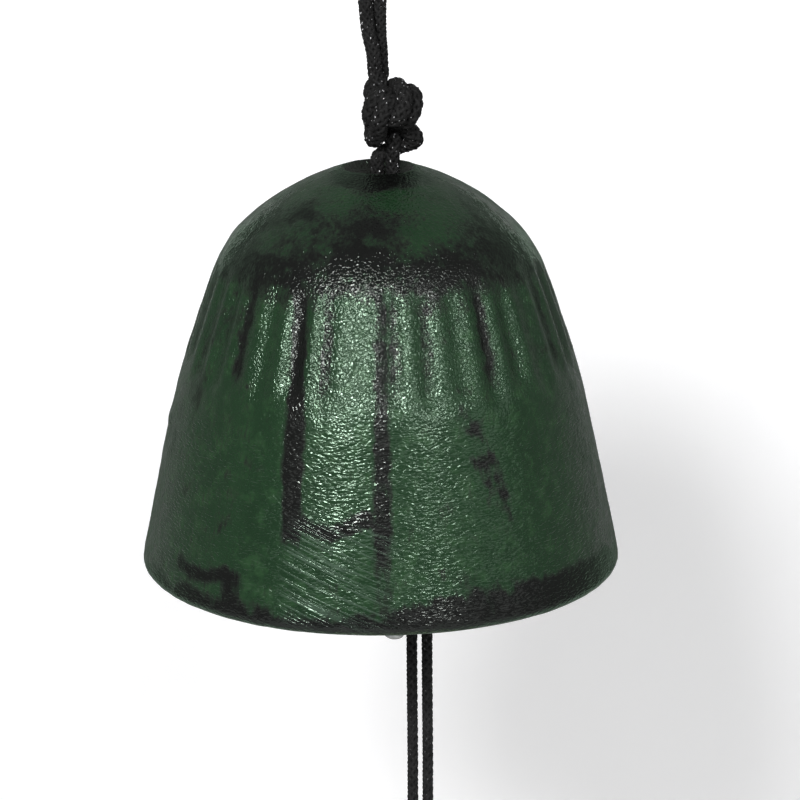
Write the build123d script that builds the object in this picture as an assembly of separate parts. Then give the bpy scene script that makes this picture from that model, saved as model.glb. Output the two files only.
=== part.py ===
"""Cast-iron wind bell on a doubled braided cord.

The origin is the point where the loop rests on its hook. +Z is up, +X is to the right as the bell is
seen from the front, and the front faces -Y. All sizes are in millimetres.
"""

import math
import os

from build123d import *

os.makedirs("parts", exist_ok=True)

# Hanging cord, doubled from the loop down to the clapper
hang_cord = 2.1  # thickness of the braided cord
hook_wire = 4.0  # thickness of the hook that the loop is sized for
loop_drop = 32.0  # hook contact point down to the top knot's stubs
loop_leg = 4.0  # hook contact point down to the ends of the bend
loop_plumb = 5.0  # upright run of a loop strand under the bend
knot_plumb = 3.0  # upright run of a loop strand above the top knot
knot_stub = 0.6  # how far a strand's stub stands out of a knot
pair_gap = 0.08  # between the two strands where they run side by side
loop_entry_side_share = 0.23  # where a loop strand enters the knot, in shares of the cord
loop_entry_depth_share = 0.48
crown_side_share = 0.43  # how far right of the axis the cord passes the crown, of the cord

# Top knot, just above the crown
top_knot_width = 9.2
top_knot_height = 11.9
top_knot_shift = 1.9  # it sits to the right of the bell's axis
crown_gap = 1.4  # open height between the top knot and the crown

# Bell casting
bell_shift = 0.8  # the bell's axis lies this far to the right of the hook contact point
bell_height = 57.7
rim_radius = 34.0
wall = 3.0
crown_wall = 5.0
dish_radius = 5.2  # shallow dish in the crown
dish_floor_radius = 4.3
dish_depth = 1.3
crown_hole = 6.6
lip_round = 1.5
lip_inner_round = 0.8
# Outer wall: share of the rim radius, share of the bell's height
wall_shares = [
    (0.155, 1.0),
    (0.288, 0.969),
    (0.441, 0.919),
    (0.571, 0.856),
    (0.647, 0.795),
    (0.709, 0.712),
    (0.825, 0.508),
    (0.906, 0.303),
    (0.985, 0.078),
]
# Places along the outer wall, from crown to lip, at which the inner wall is set out
inner_wall_shares = [0.26, 0.36, 0.48, 0.6, 0.72, 0.84, 0.94]

# Belt of upright flutes under the shoulder
flute_count = 35
flute_cutter = 2.2  # radius of the round-nosed cutter
flute_depth = 0.25  # at the ends; the bulging wall makes the middle deeper
flute_top_share = 0.79  # heights of the flutes' ends, in shares of the bell's height
flute_bottom_share = 0.52
flute_phase = 4.2  # degrees from straight ahead to the first flute

# Bead of lacquer under the lip
bead_radius = 1.3
bead_drop = 0.7
bead_side = 1.7  # to the right of the bell's axis

# Stop knot under the crown, which carries the bell
stop_knot_width = 9.0
stop_knot_height = 7.6
stop_knot_lean = -15.0  # degrees
stop_knot_shift = 0.6
running_gap = 0.3  # between pieces that turn on each other

# Clapper ring on the hanging cord
clapper_line = 0.5  # the clapper's cord hangs this far to the right of the bell's axis
neck_length = 4.0
clapper_drop = 32.2  # swing point down to the middle of the ring
ring_radius = 10.5
ring_hole = 8.4
ring_thick = 5.0
ring_round = 1.0
ring_shift = -0.9  # the ring's centre, from the clapper's cord
seat_gap = 0.12  # between pieces that rest on each other
clapper_knot_width = 7.4
clapper_knot_height = 7.0
clapper_knot_shift = -2.0
cord_end = 5.0  # trimmed ends under the clapper knot
cord_end_splay = 12.0  # degrees

# Tail cord, doubled from its hitch on the ring down to the paper strip
tail_cord = 1.7
tail_shift = 5.0  # middle of the two strands, from the clapper's cord
tail_space = 2.2  # from strand to strand
tail_drop = 46.8  # length of the two visible strands
hitch_stub = 0.6
hitch_space = 1.9  # from turn to turn of the hitch, along the ring
bight_corner_share = 0.9  # corner radius of the hitch's bight, of the cord's thickness
tail_sway = 0.25  # how far the strands wander from straight
tail_plumb = 6.0  # upright run at each end of a strand
tail_bend_shares = [0.38, 0.66]  # heights of the strands' two slight bends

# Knot and loop that hold the paper strip
strip_knot_width = 5.6
strip_knot_height = 6.0
strip_loop_length = 9.0
strip_loop_space = 3.6  # from leg to leg, front to back
strip_end = 4.0  # trimmed ends over the strip knot
strip_end_lean = 105.0  # degrees from straight down

# Paper strip
strip_width = 54.0
strip_length = 132.0
strip_thick = 0.4
strip_hole = 4.5
strip_hole_drop = 5.5  # top edge down to the hole's centre
strip_corner = 0.8

# Shares that shape a knot
lobe_share = 0.58  # height of one wrap, of the knot's height
upper_lobe_share = 0.92  # size of the upper wrap, of the lower one
band_share = 0.86  # size of the wrap that crosses the others
knot_lean = 12.0  # degrees
band_lean = 52.0  # degrees

# Share of a cord's shorter run that each of its arcs takes
arc_share = 0.45

# Length of a cutter, in shares of the wall that it goes through
cutter_share = 3

# Fall of the outer wall as it leaves the crown, in shares of its run
crown_fall_share = 0.2

# Levels, from the hook contact point down
hook_z = -hook_wire / 2
strand_end_z = -loop_drop
top_knot_z = strand_end_z - knot_stub - top_knot_height / 2
crown_z = top_knot_z - top_knot_height / 2 - crown_gap
rim_z = crown_z - bell_height
stop_knot_z = crown_z - crown_wall - running_gap - stop_knot_height / 2
neck_z = stop_knot_z - stop_knot_height / 2 - knot_stub
swing_z = neck_z - neck_length
ring_z = swing_z - clapper_drop
ring_foot_z = ring_z - ring_thick / 2
clapper_knot_z = ring_foot_z - seat_gap - clapper_knot_height / 2
hitch_z = ring_foot_z - seat_gap - tail_cord / 2
bight_z = hitch_z - tail_cord
tail_top_z = bight_z - tail_cord / 2 - hitch_stub
tail_foot_z = tail_top_z - tail_drop
strip_knot_z = tail_foot_z - knot_stub - strip_knot_height / 2
strip_loop_z = strip_knot_z - strip_knot_height / 2 - knot_stub
strip_bend_z = strip_loop_z - strip_loop_length
hole_z = strip_bend_z + tail_cord / 2 + seat_gap - strip_hole / 2
strip_top_z = hole_z + strip_hole_drop

# Places to the right of the hook contact point
clapper_x = bell_shift + clapper_line
ring_x = clapper_x + ring_shift
tail_x = clapper_x + tail_shift

bend_radius = (hook_wire + hang_cord) / 2
strand_space = hang_cord + pair_gap


def save(solid, name):
    """One file for each sub-part, its solids fused where they are one piece."""
    solid.label = name
    export_step(solid, f"parts/{name}.step")


def along(route, thickness, name):
    """A cord's tube along straight runs joined by tangent arcs, and its volume against its length."""
    points = [Vector(*p) for p in route]
    radii = arc_radii(points)
    line = FilletPolyline(*points, radius=radii)
    tube = sweep(Plane(origin=line @ 0, z_dir=line % 0) * Circle(thickness / 2), path=line)
    section = math.pi * thickness**2 / 4
    print(
        f"{name}: radii {[round(r, 1) for r in radii]}, length {line.length:.1f},"
        f" volume {tube.volume / (section * line.length):.4f} of section times length"
    )
    return tube


def arc_radii(points):
    """The largest arc that each corner's two runs allow."""
    radii = []
    for before, at, after in zip(points, points[1:], points[2:]):
        turn = (at - before).get_angle(after - at)
        run = min((at - before).length, (after - at).length)
        radii.append(arc_share * run / math.tan(math.radians(turn / 2)))
    return radii


def closed_tube(corners, corner, thickness):
    """A cord that closes on itself round a form with rounded corners."""
    line = FilletPolyline(*corners, radius=corner, close=True)
    return sweep(Plane(origin=line @ 0, z_dir=line % 0) * Circle(thickness / 2), path=line)


def rod(start, end, thickness):
    """A short straight stretch of cord."""
    reach = Vector(*end) - Vector(*start)
    base = Plane(origin=start, z_dir=reach)
    return base * extrude(Circle(thickness / 2), amount=reach.length)


def wrap(width, height):
    """One turn of doubled cord in a knot: a disc with a full-round edge."""
    edge = height / 2
    flat = width / 2 - edge
    with BuildPart() as turn:
        with BuildSketch(Plane.XZ):
            with BuildLine():
                Line((0, -edge), (flat, -edge))
                RadiusArc((flat, -edge), (flat, edge), -edge)
                Line((flat, edge), (0, edge))
                Line((0, edge), (0, -edge))
            make_face()
        revolve(axis=Axis.Z)
    return turn.part


def wrap_rise(width, height, lean):
    """From the middle of a leaning wrap up to its highest point."""
    return height / 2 + (width - height) / 2 * math.sin(math.radians(abs(lean)))


def knot(place, width, height, lean):
    """An overhand knot in doubled cord: two wraps one over the other, and one that crosses them."""
    lobe = height * lobe_share
    upper_width = width * upper_lobe_share
    upper_lobe = lobe * upper_lobe_share
    upper_z = height / 2 - wrap_rise(upper_width, upper_lobe, lean)
    lower_z = wrap_rise(width, lobe, lean) - height / 2
    upper = Pos(0, 0, upper_z) * Rot(0, lean, 0) * wrap(upper_width, upper_lobe)
    lower = Pos(0, 0, lower_z) * Rot(0, lean, 0) * wrap(width, lobe)
    crossing_lean = -math.copysign(band_lean, lean)
    crossing = Rot(0, crossing_lean, 0) * wrap(width * band_share, lobe * band_share)
    return Pos(*place) * (upper + lower + crossing)


def stubs(body, places, thickness, inner_z, outer_z):
    """A knot's body with the short ends of its strands, cut square where the strands start."""
    for x, y in places:
        body = body + rod((x, y, inner_z), (x, y, outer_z), thickness)
    return body


def pair_in_x(middle, space):
    """Two strands side by side."""
    return [(middle - space / 2, 0), (middle + space / 2, 0)]


def pair_in_y(middle, space):
    """Two strands one in front of the other."""
    return [(middle, -space / 2), (middle, space / 2)]


loop_places = [
    (bell_shift + side * hang_cord * loop_entry_side_share, side * hang_cord * loop_entry_depth_share)
    for side in (-1, 1)
]
crown_places = pair_in_x(bell_shift + hang_cord * crown_side_share, strand_space)
clapper_places = pair_in_y(clapper_x, strand_space)
tail_places = pair_in_x(tail_x, tail_space)


def hook_loop_bend():
    """The bend of the loop over the hook, with two short legs."""
    with BuildLine() as path:
        Line((-bend_radius, 0, -loop_leg), (-bend_radius, 0, hook_z))
        ThreePointArc(
            (-bend_radius, 0, hook_z), (0, 0, hook_z + bend_radius), (bend_radius, 0, hook_z)
        )
        Line((bend_radius, 0, hook_z), (bend_radius, 0, -loop_leg))
    start = Plane(origin=(-bend_radius, 0, -loop_leg), z_dir=(0, 0, 1))
    return sweep(start * Circle(hang_cord / 2), path=path.line)


def loop_strand(side, place, name):
    """One strand of the loop, from the bend down to the top knot."""
    x, y = place
    route = [
        (side * bend_radius, 0, -loop_leg),
        (side * bend_radius, 0, -loop_leg - loop_plumb),
        (x, y, strand_end_z + knot_plumb),
        (x, y, strand_end_z),
    ]
    return along(route, hang_cord, name)


def top_knot():
    """The large knot above the crown, with the strands' stubs above and below."""
    body = knot(
        (bell_shift + top_knot_shift, 0, top_knot_z), top_knot_width, top_knot_height, knot_lean
    )
    body = stubs(body, loop_places, hang_cord, top_knot_z, strand_end_z)
    foot = top_knot_z - top_knot_height / 2 - knot_stub
    return stubs(body, crown_places, hang_cord, top_knot_z, foot)


def crown_strand(place):
    """One strand in the crown hole, from knot to knot."""
    x, y = place
    top = top_knot_z - top_knot_height / 2 - knot_stub
    foot = stop_knot_z + stop_knot_height / 2 + knot_stub
    return rod((x, y, top), (x, y, foot), hang_cord)


def stop_knot():
    """The knot under the crown that the bell rests on."""
    middle = bell_shift + stop_knot_shift
    body = knot((middle, 0, stop_knot_z), stop_knot_width, stop_knot_height, stop_knot_lean)
    head = stop_knot_z + stop_knot_height / 2 + knot_stub
    body = stubs(body, crown_places, hang_cord, stop_knot_z, head)
    return stubs(body, clapper_places, hang_cord, stop_knot_z, neck_z)


def bell_walls():
    """The bell's section: outer wall, lip, inner wall and crown."""
    outer_points = [(r * rim_radius, rim_z + h * bell_height) for r, h in wall_shares]
    outer_points.append((rim_radius, rim_z + lip_round))
    with BuildSketch(Plane.XZ) as section:
        with BuildLine():
            outer = Spline(*outer_points, tangents=[(1, -crown_fall_share), (0, -1)])
            inner_points = [(crown_hole / 2, crown_z - crown_wall)]
            for share in inner_wall_shares:
                at = outer @ share
                way = outer % share
                inner_points.append((at.X + way.Y * wall, at.Y - way.X * wall))
            inner_points.append((rim_radius - wall, rim_z + lip_inner_round))
            foot_out = (rim_radius - lip_round, rim_z)
            foot_in = (rim_radius - wall + lip_inner_round, rim_z)
            RadiusArc(outer_points[-1], foot_out, lip_round)
            Line(foot_out, foot_in)
            RadiusArc(foot_in, inner_points[-1], lip_inner_round)
            Spline(*inner_points, tangents=[(1, 0), (0, -1)])
            Line(inner_points[0], (0, inner_points[0][1]))
            Line((0, inner_points[0][1]), (0, crown_z))
            Line((0, crown_z), outer_points[0])
        make_face()
    return revolve(section.sketch, axis=Axis.Z)


def crown_opening():
    """The dish in the crown and the hole for the cord."""
    dish = Pos(0, 0, crown_z) * extrude_down_cone(dish_radius, dish_floor_radius, dish_depth)
    hole = Pos(0, 0, crown_z) * Cylinder(crown_hole / 2, crown_wall * cutter_share)
    return dish + hole


def extrude_down_cone(top, foot, depth):
    """A dish-shaped cutter whose top lies level with Z 0."""
    cone = Cone(foot, top, depth, align=(Align.CENTER, Align.CENTER, Align.MAX))
    cap = Cylinder(top, depth, align=(Align.CENTER, Align.CENTER, Align.MIN))
    return cone + cap


def wall_radius(share):
    """The outer wall's radius at a share of the bell's height, by straight lines between its points."""
    for (r_high, h_high), (r_low, h_low) in zip(wall_shares, wall_shares[1:]):
        if h_low <= share <= h_high:
            part_way = (h_high - share) / (h_high - h_low)
            return rim_radius * (r_high + part_way * (r_low - r_high))
    return rim_radius


def flute_cutter_form():
    """One round-nosed cutter, laid against the wall straight ahead of the axis."""
    top = Vector(wall_radius(flute_top_share), 0, rim_z + flute_top_share * bell_height)
    foot = Vector(wall_radius(flute_bottom_share), 0, rim_z + flute_bottom_share * bell_height)
    lie = (foot - top).normalized()
    out = Vector(-lie.Z, 0, lie.X)
    shift = out * (flute_cutter - flute_depth)
    top = top + shift
    foot = foot + shift
    body = rod(tuple(top), tuple(foot), 2 * flute_cutter)
    return body + Pos(*top) * Sphere(flute_cutter) + Pos(*foot) * Sphere(flute_cutter)


def flutes():
    """All the flute cutters round the bell."""
    cutter = flute_cutter_form()
    step = 360 / flute_count
    return [Rot(0, 0, -90 + flute_phase + n * step) * cutter for n in range(flute_count)]


def bell_body():
    """The casting, with its dish, hole, flutes and the bead under its lip."""
    body = bell_walls() - crown_opening()
    body = body - flutes()
    bead_out = -math.sqrt((rim_radius - lip_round) ** 2 - bead_side**2)
    bead = Pos(bead_side, bead_out, rim_z + bead_radius - bead_drop) * Sphere(bead_radius)
    return Pos(bell_shift, 0, 0) * (body + bead)


def clapper_neck():
    """The two short strands between the stop knot and the clapper's swing point."""
    return Compound([rod((x, y, neck_z), (x, y, swing_z), hang_cord) for x, y in clapper_places])


def clapper_strand(place):
    """One strand from the swing point through the ring to its knot."""
    x, y = place
    foot = clapper_knot_z + clapper_knot_height / 2
    return rod((x, y, swing_z), (x, y, foot), hang_cord)


def clapper_ring():
    """The clapper: a cast-iron ring with softened edges."""
    ring = Cylinder(ring_radius, ring_thick) - Cylinder(ring_hole / 2, ring_thick * cutter_share)
    ring = fillet(ring.edges().filter_by(GeomType.CIRCLE), ring_round)
    return Pos(ring_x, 0, ring_z) * ring


def clapper_knot():
    """The knot under the ring, with its two trimmed ends."""
    middle = (clapper_x + clapper_knot_shift, 0, clapper_knot_z)
    body = knot(middle, clapper_knot_width, clapper_knot_height, knot_lean)
    head = clapper_knot_z + clapper_knot_height / 2
    body = stubs(body, clapper_places, hang_cord, clapper_knot_z, head)
    reach = clapper_knot_height / 2 + cord_end
    for side in (-1, 1):
        lean = math.radians(side * cord_end_splay)
        across = side * strand_space / 2
        end_x = middle[0] + reach * math.sin(lean)
        end_z = clapper_knot_z - reach * math.cos(lean)
        body = body + rod((middle[0], across, clapper_knot_z), (end_x, across, end_z), hang_cord)
    return body


def limb_turn(y):
    """One turn of the tail cord round the ring's limb, as a closed tube with rounded corners."""
    stand_off = seat_gap + tail_cord / 2
    side_reach = (hitch_space + tail_cord) / 2
    hole_reach = math.sqrt((ring_hole / 2) ** 2 - side_reach**2)
    inner = ring_x + hole_reach - stand_off
    outer = ring_x + ring_radius + stand_off
    width = outer - inner
    height = ring_thick + 2 * stand_off
    corner = ring_round + stand_off
    plane = Plane(origin=((inner + outer) / 2, y, ring_z), x_dir=(1, 0, 0), z_dir=(0, -1, 0))
    corners = [
        plane.from_local_coords((across * width / 2, up * height / 2, 0))
        for across, up in ((-1, -1), (1, -1), (1, 1), (-1, 1))
    ]
    return closed_tube(corners, corner, tail_cord)


def hitch_bight():
    """The bight of the hitch: a level turn of cord round the two strands, under the ring."""
    reach = tail_space / 2 + tail_cord
    corners = [
        (tail_x + across * reach, forward * tail_cord, bight_z)
        for across, forward in ((-1, -1), (1, -1), (1, 1), (-1, 1))
    ]
    return closed_tube(corners, tail_cord * bight_corner_share, tail_cord)


def tail_hitch():
    """The tail cord's hitch on the ring: two turns round the limb and the bight under them."""
    body = limb_turn(-hitch_space / 2) + limb_turn(hitch_space / 2) + hitch_bight()
    body = body + Pos(tail_x, 0, hitch_z) * Box(tail_space, tail_cord, tail_cord)
    return stubs(body, tail_places, tail_cord, hitch_z, tail_top_z)


def tail_strand(place, side, name):
    """One strand of the tail, from the hitch down to the strip's knot."""
    x, y = place
    upper, lower = tail_bend_shares
    route = [
        (x, y, tail_top_z),
        (x, y, tail_top_z - tail_plumb),
        (x + side * tail_sway, y - tail_sway, tail_top_z - tail_drop * upper),
        (x, y + tail_sway, tail_top_z - tail_drop * lower),
        (x, y, tail_foot_z + tail_plumb),
        (x, y, tail_foot_z),
    ]
    return along(route, tail_cord, name)


def strip_knot():
    """The knot over the paper strip, with its two trimmed ends."""
    body = knot((tail_x, 0, strip_knot_z), strip_knot_width, strip_knot_height, knot_lean)
    body = stubs(body, tail_places, tail_cord, strip_knot_z, tail_foot_z)
    legs = pair_in_y(tail_x, strip_loop_space)
    body = stubs(body, legs, tail_cord, strip_knot_z, strip_loop_z)
    reach = strip_knot_width / 2 + strip_end
    for side in (-1, 1):
        lean = math.radians(side * strip_end_lean)
        end = (tail_x + reach * math.sin(lean), 0, strip_knot_z - reach * math.cos(lean))
        body = body + rod((tail_x, 0, strip_knot_z), end, tail_cord)
    return body


def strip_loop():
    """The loop from the knot through the strip's hole and back."""
    half = strip_loop_space / 2
    foot = strip_bend_z + half
    with BuildLine() as path:
        Line((tail_x, -half, strip_loop_z), (tail_x, -half, foot))
        ThreePointArc((tail_x, -half, foot), (tail_x, 0, strip_bend_z), (tail_x, half, foot))
        Line((tail_x, half, foot), (tail_x, half, strip_loop_z))
    start = Plane(origin=(tail_x, -half, strip_loop_z), z_dir=(0, 0, -1))
    return sweep(start * Circle(tail_cord / 2), path=path.line)


def paper_strip():
    """The paper strip that catches the wind, with the hole for its loop."""
    sheet = Box(strip_width, strip_thick, strip_length)
    sheet = fillet(sheet.edges().filter_by(Axis.Y), strip_corner)
    sheet = Pos(tail_x, 0, strip_top_z - strip_length / 2) * sheet
    hole = Pos(tail_x, 0, hole_z) * Rot(90, 0, 0) * Cylinder(strip_hole / 2, strip_thick * cutter_share)
    return sheet - hole


save(hook_loop_bend(), "hook_loop_bend")
save(loop_strand(-1, loop_places[0], "left loop strand"), "loop_strand_left")
save(loop_strand(1, loop_places[1], "right loop strand"), "loop_strand_right")
save(top_knot(), "top_knot")
save(crown_strand(crown_places[0]), "crown_strand_left")
save(crown_strand(crown_places[1]), "crown_strand_right")
save(stop_knot(), "stop_knot")
save(bell_body(), "bell_body")
save(clapper_neck(), "clapper_neck")
save(clapper_strand(clapper_places[0]), "clapper_strand_front")
save(clapper_strand(clapper_places[1]), "clapper_strand_back")
save(clapper_ring(), "clapper_ring")
save(clapper_knot(), "clapper_knot")
save(tail_hitch(), "tail_hitch")
save(tail_strand(tail_places[0], -1, "left tail strand"), "tail_strand_left")
save(tail_strand(tail_places[1], 1, "right tail strand"), "tail_strand_right")
save(strip_knot(), "strip_knot")
save(strip_loop(), "strip_loop")
save(paper_strip(), "paper_strip")
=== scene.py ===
import math

import bmesh
import bpy
import numpy as np
from mathutils import Matrix, Vector, noise


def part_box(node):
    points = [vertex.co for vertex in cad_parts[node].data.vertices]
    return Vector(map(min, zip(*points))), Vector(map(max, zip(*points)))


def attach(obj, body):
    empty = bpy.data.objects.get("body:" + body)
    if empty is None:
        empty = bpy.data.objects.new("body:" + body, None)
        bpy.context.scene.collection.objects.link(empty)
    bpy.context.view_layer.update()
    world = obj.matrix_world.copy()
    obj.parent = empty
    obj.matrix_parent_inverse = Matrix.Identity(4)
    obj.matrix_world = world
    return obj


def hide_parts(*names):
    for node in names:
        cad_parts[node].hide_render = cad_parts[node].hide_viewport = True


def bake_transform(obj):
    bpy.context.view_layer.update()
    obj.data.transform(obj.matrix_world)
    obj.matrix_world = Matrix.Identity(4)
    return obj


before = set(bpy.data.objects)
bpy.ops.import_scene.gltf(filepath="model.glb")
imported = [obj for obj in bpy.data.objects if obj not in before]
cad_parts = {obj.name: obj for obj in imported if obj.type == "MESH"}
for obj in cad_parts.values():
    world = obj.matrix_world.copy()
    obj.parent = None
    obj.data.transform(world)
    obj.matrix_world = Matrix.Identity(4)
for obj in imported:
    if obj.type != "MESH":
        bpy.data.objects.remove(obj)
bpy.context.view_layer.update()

MM = 0.001

# Places in millimetres, from the point where the loop rests on its hook
bell_x = 0.8
crown_z = -45.9
rim_z = -103.6
swing_z = -63.4
strip_x = 6.3
strip_bend = -165.22

# Head and foot of each knot
top_knot_ends = (-32.0, -45.1)
stop_knot_ends = (-50.6, -59.4)
clapper_knot_ends = (-98.0, -105.2)
strip_knot_ends = (-149.0, -156.2)

# Where the two strands of each cord pass, seen from above
loop_places = [(bell_x - 0.483, -1.008), (bell_x + 0.483, 1.008)]
crown_places = [(bell_x + 0.903 - 1.09, 0.0), (bell_x + 0.903 + 1.09, 0.0)]
clapper_places = [(1.3, -1.09), (1.3, 1.09)]
tail_places = [(5.2, 0.0), (7.4, 0.0)]

# Sizes in millimetres
bell_height = crown_z - rim_z
rim_radius = 34.0
wall = 3.0
crown_wall = 5
crown_hole_radius = 3.3
hanging_thick = 2.1
tail_thick = 1.7


def link(obj):
    bpy.context.scene.collection.objects.link(obj)
    return obj


def settle(piece, body, slot_name, *nodes):
    """Puts a rigid piece on its body and hides the nodes that it stands for. Its slot name is not used."""
    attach(piece, body)
    if nodes:
        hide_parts(*nodes)


def mesh_from(made, name):
    mesh = bpy.data.meshes.new(name)
    made.to_mesh(mesh)
    made.free()
    return mesh


# Camera


def place_camera():
    """The photograph's viewpoint: in front, a little above, looking down on the bell's shoulder."""
    data = bpy.data.cameras.new("camera")
    data.lens = 152.4
    data.sensor_width = 36
    data.clip_start = 0.01
    data.clip_end = 30
    camera = link(bpy.data.objects.new("camera", data))
    yaw = Matrix.Rotation(math.radians(-0.35), 4, "Z")
    tilt = Matrix.Rotation(math.radians(90 - 15.56), 4, "X")
    roll = Matrix.Rotation(math.radians(-0.3), 4, "Z")
    camera.matrix_world = Matrix.Translation(Vector((0.8, -463.9, 49.4)) * MM) @ yaw @ tilt @ roll
    bpy.context.scene.camera = camera


place_camera()


# Cords


def route_line(points):
    """The smooth line of a cord through its route, in millimetres."""
    curve = bpy.data.curves.new("route", "CURVE")
    curve.dimensions = "3D"
    curve.resolution_u = 20
    spline = curve.splines.new("NURBS")
    spline.points.add(len(points) - 1)
    for point, place in zip(spline.points, points):
        point.co = (*(Vector(place) * MM), 1)
    spline.order_u = 3
    spline.use_endpoint_u = True
    holder = bpy.data.objects.new("route", curve)
    mesh = bpy.data.meshes.new_from_object(holder)
    line = np.array([v.co for v in mesh.vertices]) / MM
    bpy.data.objects.remove(holder)
    bpy.data.curves.remove(curve)
    bpy.data.meshes.remove(mesh)
    return line


def run_along(line):
    """The way covered along a line up to each of its points."""
    return np.r_[0, np.cumsum(np.linalg.norm(np.diff(line, axis=0), axis=1))]


def even(line, spacing=None, count=None):
    """The same line with its points evenly spaced."""
    run = run_along(line)
    if count is None:
        count = max(4, int(round(run[-1] / spacing)) + 1)
    places = np.linspace(0, run[-1], count)
    return np.column_stack([np.interp(places, run, line[:, k]) for k in range(3)])


def across(line):
    """Two directions across a line at each of its points, carried along without twist."""
    ahead = np.gradient(line, axis=0)
    ahead /= np.linalg.norm(ahead, axis=1)[:, None]
    first = np.cross(ahead[0], (0.31, 0.92, 0.24))
    sides = [first / np.linalg.norm(first)]
    for way in ahead[1:]:
        side = sides[-1] - way * np.dot(sides[-1], way)
        sides.append(side / np.linalg.norm(side))
    sides = np.array(sides)
    return sides, np.cross(ahead, sides)


def braid(name, lines, thick, material, yarns=6, fine=5, slim=None):
    """Braided cords along these lines: yarns that turn both ways and pass over and under, on a core."""
    pitch = thick * 3.1
    curve = bpy.data.curves.new(name, "CURVE")
    curve.dimensions = "3D"
    curve.bevel_depth = MM
    curve.bevel_resolution = 1
    curve.use_fill_caps = True
    yarn = thick * (0.118 if yarns > 4 else 0.155)
    ripple = thick * 0.032
    middle = thick / 2 - yarn - ripple
    for line in lines:
        points = even(line, pitch / yarns / fine)
        size = np.ones(len(points)) if slim is None else slim(points)
        side, up = across(points)
        wound = 2 * math.pi * np.arange(len(points)) * (run_along(points)[-1] / (len(points) - 1)) / pitch
        weave = ripple * np.cos(yarns * wound)
        strands = [(points, middle)]
        for sense in (-1, 1):
            for n in range(yarns):
                angle = sense * wound + 2 * math.pi * n / yarns
                reach = (middle + sense * weave) * size
                out = np.cos(angle)[:, None] * side + np.sin(angle)[:, None] * up
                strands.append((points + out * reach[:, None], yarn))
        for path, radius in strands:
            spline = curve.splines.new("POLY")
            spline.points.add(len(path) - 1)
            spline.points.foreach_set("co", np.column_stack([path * MM, np.ones(len(path))]).ravel())
            spline.points.foreach_set("radius", size * radius)
    holder = bpy.data.objects.new(name, curve)
    mesh = bpy.data.meshes.new_from_object(holder)
    mesh.name = name
    bpy.data.objects.remove(holder)
    bpy.data.curves.remove(curve)
    mesh.materials.clear()
    mesh.materials.append(material)
    mesh.shade_smooth()
    return link(bpy.data.objects.new(name, mesh))


# Knots, tied by letting two cords settle against each other


def push_apart(points, strand, run):
    """Moves cords that lie in each other apart, half each. Sizes are in cord thicknesses."""
    gap = points[:, None] - points[None]
    far = np.linalg.norm(gap, axis=2)
    touching = far < 1
    touching &= ~((strand[:, None] == strand[None]) & (np.abs(run[:, None] - run[None]) < 1.7))
    i, j = np.nonzero(np.triu(touching, 1))
    if len(i) == 0:
        return
    away = gap[i, j] / np.maximum(far[i, j], 1e-6)[:, None] * ((1 - far[i, j]) / 2)[:, None]
    moved = np.zeros_like(points)
    hits = np.zeros(len(points))
    for k, sign in ((i, 1), (j, -1)):
        np.add.at(moved, k, sign * away)
        np.add.at(hits, k, 1)
    points += moved / np.sqrt(np.maximum(hits, 1))[:, None]


def turned(points, angle, hand=1):
    """Points turned about the upright axis, and then mirrored front to back if the hand is -1."""
    c, s = math.cos(angle), math.sin(angle)
    x, y, z = np.asarray(points, float).T
    return np.column_stack([x * c - y * s, (x * s + y * c) * hand, z])


def open_knot(reach, count):
    """An overhand knot in two cords side by side, still open, between a head and a foot this far off."""
    t = np.linspace(math.pi + 0.12, 3 * math.pi - 0.12, 160)
    x = np.sin(t) + 2 * np.sin(2 * t)
    y = np.cos(t) - 2 * np.cos(2 * t)
    loop = 1.75 * np.column_stack([y + 3, -1.25 * np.sin(3 * t), -x])
    cords = []
    for side in (-0.5, 0.5):
        way = np.gradient(loop, axis=0)
        way[:, 1] = 0
        way /= np.linalg.norm(way, axis=1)[:, None]
        flat = loop + side * np.column_stack([way[:, 2], 0 * t, -way[:, 0]])
        top = np.array([[side, -1, reach], [side, -1, 2.5]])
        end = np.array([[side, 1, -2.5], [side, 1, -reach]])
        cords.append(even(np.vstack([top, flat, end]), count=count))
    return cords


def tie_knot(head, foot, reach, turn, count=84, steps=420):
    """A left-handed overhand knot in two cords side by side, drawn tight. Sizes are in cord thicknesses."""
    head = turned([(x, -y, 0) for x, y in head], -turn)[:, :2]
    foot = turned([(x, -y, 0) for x, y in foot], -turn)[:, :2]
    open_reach = 7.0
    cords = open_knot(open_reach, count)
    strand = np.repeat([0, 1], count)
    for step in range(steps + 30):
        settle = step >= steps
        drawn = min(1, step / (steps * 0.7))
        z_end = open_reach + (reach - open_reach) * drawn
        for cord, (hx, hy), (fx, fy) in zip(cords, head, foot):
            cord[0] = (hx, hy, z_end)
            cord[-1] = (fx, fy, -z_end)
            if not settle:
                cord[1:-1] += 0.4 * ((cord[:-2] + cord[2:]) / 2 - cord[1:-1])
        both = np.vstack(cords)
        if step < steps * 0.85:
            if both[:, 0].max() > 2.7:
                both[:, 0] -= np.clip(both[:, 0] - 0.3, 0, None) * 0.012
            outer = np.abs(both[:, 0]) > 0.9
            if np.abs(both[outer, 2]).max() > 1.9:
                both[outer, 2] *= 0.99
        run = np.concatenate([run_along(cord) for cord in cords])
        for _ in range(3):
            push_apart(both, strand, run)
        cords = [both[:count].copy(), both[count:].copy()]
        if step % 4 == 0 and not settle:
            cords = [even(cord, count=count) for cord in cords]
    return [turned(cord, turn, -1) for cord in cords]


# The one tied knot, in cord thicknesses, that every knot of the object is a copy of
knot_reach = 3.12
tied = tie_knot([(-0.23, -0.48), (0.23, 0.48)], [(-0.52, 0), (0.52, 0)], knot_reach, math.radians(80))
tied_low = np.vstack(tied).min(0)
tied_high = np.vstack(tied).max(0)


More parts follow.
